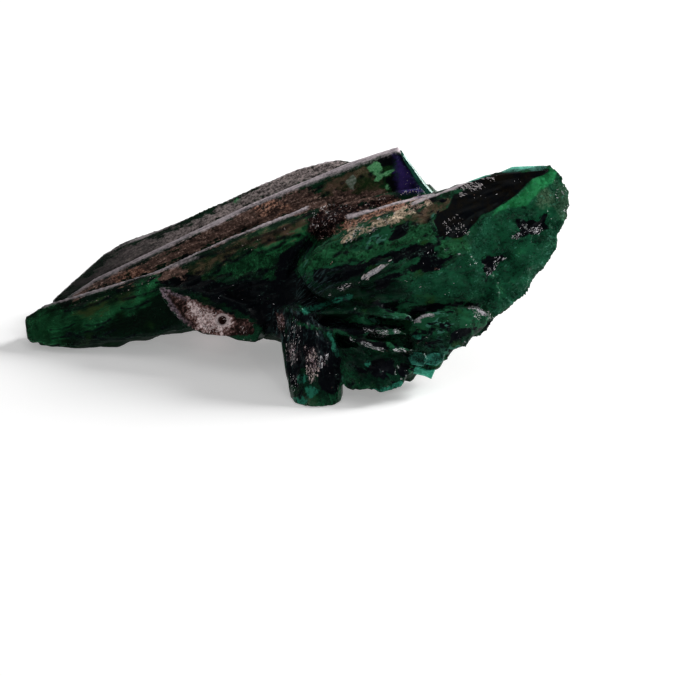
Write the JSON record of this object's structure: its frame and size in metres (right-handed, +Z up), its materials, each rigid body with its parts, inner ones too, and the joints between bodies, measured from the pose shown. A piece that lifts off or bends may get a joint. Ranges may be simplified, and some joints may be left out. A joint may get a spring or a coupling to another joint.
{
  "type": "axinite specimen",
  "caption": "Cluster of intergrown dark green axinite blades with a squared-off prism on top, a broad broken wedge to one side and a stub at the front that it stands on.",
  "frame": {"origin": "middle of the bounding box at the level of the ground that the feet rest on", "axes": "+X along the cluster from the tip of the arm to the broken wedge, +Y from the side seen in the picture to the back, +Z up"},
  "size_m": [0.0906, 0.047, 0.0313],
  "materials": {
    "axinite": "vitreous, translucent at thin edges, frosted grey along the ridges, with a dusty brown coat in the grooves"
  },
  "bodies": {
    "root": {"axinite_cluster": "axinite"}
  },
  "joints": []
}
